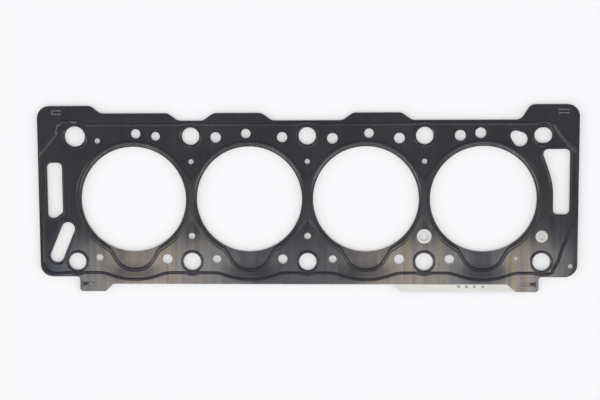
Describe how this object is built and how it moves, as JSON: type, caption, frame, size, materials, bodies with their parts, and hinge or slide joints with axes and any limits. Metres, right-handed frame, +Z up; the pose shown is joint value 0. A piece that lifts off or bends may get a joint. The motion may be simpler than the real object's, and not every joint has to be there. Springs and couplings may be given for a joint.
{
  "type": "cylinder head gasket",
  "caption": "Flat multi-layer steel sealing gasket for an in-line engine's cylinder head, with pressed beads round bores, bolt holes and coolant slots.",
  "frame": {"origin": "middle of the head-bolt pattern, between the second and third cylinder bores, on the underside that rests on the block", "axes": "+X along the row of cylinders, towards the end with the curved slot; +Y across the engine, towards the edge with the dowel hole; +Z up, from the block to the cylinder head"},
  "size_m": [0.4307, 0.1496, 0.0022],
  "materials": {
    "coated_steel": "satin black elastomer coating",
    "bare_steel": "rolled"
  },
  "bodies": {
    "root": {"carrier_layer": "bare_steel", "lower_layer": "coated_steel", "upper_layer": "coated_steel"}
  },
  "joints": []
}
